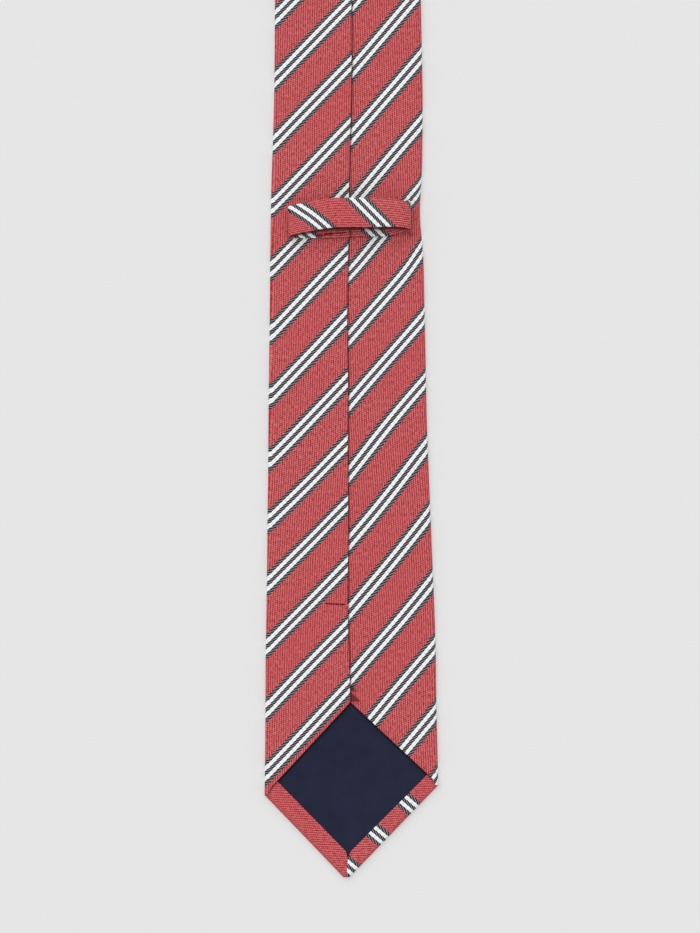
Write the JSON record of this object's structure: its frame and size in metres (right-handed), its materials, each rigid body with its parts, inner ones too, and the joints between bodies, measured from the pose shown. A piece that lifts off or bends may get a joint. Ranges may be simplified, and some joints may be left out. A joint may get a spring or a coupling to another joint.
{
  "type": "necktie",
  "caption": "Striped silk necktie with lapped back flaps, pointed lined tips, bar tacks and a self-fabric keeper loop; the neck bends round a collar.",
  "frame": {"origin": "middle of the bounding box's bottom, under the tie's mid length, on the front face that it lies on", "axes": "+Y along the length from the wide tip (at -Y) to the narrow tip, +Z out of the back of the tie, away from the surface it lies on, +X across, to the right as the back is seen with the wide tip down"},
  "size_m": [0.075, 1.48, 0.0119],
  "materials": {
    "striped_silk": "ribbed silk twill, red with navy and white stripes",
    "tipping_lining": "smooth navy lining satin",
    "interlining_wool": "brushed wool",
    "sewing_thread": "dark red silk thread"
  },
  "bodies": {
    "wide_blade": {"wide_shell": "striped_silk", "neck_shell_wide_end": "striped_silk", "wide_interlining": "interlining_wool", "wide_tipping": "tipping_lining", "wide_slip_stitch": "sewing_thread", "wide_bar_tack": "sewing_thread"},
    "neck_wide_side": {"neck_shell_wide_side": "striped_silk", "neck_interlining_wide_side": "interlining_wool", "neck_slip_stitch_wide_side": "sewing_thread"},
    "neck_narrow_side": {"neck_shell_narrow_side": "striped_silk", "neck_interlining_narrow_side": "interlining_wool", "neck_slip_stitch_narrow_side": "sewing_thread"},
    "narrow_blade": {"neck_shell_narrow_end": "striped_silk", "narrow_shell": "striped_silk", "narrow_interlining": "interlining_wool", "narrow_tipping": "tipping_lining", "narrow_slip_stitch": "sewing_thread", "narrow_bar_tack": "sewing_thread"},
    "keeper": {"keeper_base_left": "striped_silk", "keeper_base_right": "striped_silk", "keeper_tack": "sewing_thread"},
    "keeper_front": {"keeper_band": "striped_silk"}
  },
  "joints": [
    {"name": "neck_bend_wide_side", "type": "hinge", "parent": "wide_blade", "child": "neck_wide_side", "pos_m": [0, -0.005, 0.004], "axis": [1, 0, 0], "range_deg": [0, 60]},
    {"name": "neck_bend_nape", "type": "hinge", "parent": "neck_wide_side", "child": "neck_narrow_side", "pos_m": [0, 0.06, 0.004], "axis": [1, 0, 0], "range_deg": [0, 60]},
    {"name": "neck_bend_narrow_side", "type": "hinge", "parent": "neck_narrow_side", "child": "narrow_blade", "pos_m": [0, 0.125, 0.004], "axis": [1, 0, 0], "range_deg": [0, 60]},
    {"name": "keeper_swivel", "type": "hinge", "parent": "wide_blade", "child": "keeper", "pos_m": [-0.0008, -0.4572, 0.0043], "axis": [0, 0, 1], "range_deg": [-8, 8]},
    {"name": "keeper_lift", "type": "slide", "parent": "keeper", "child": "keeper_front", "axis": [0, 0, 1], "range_m": [0, 0.004]}
  ]
}
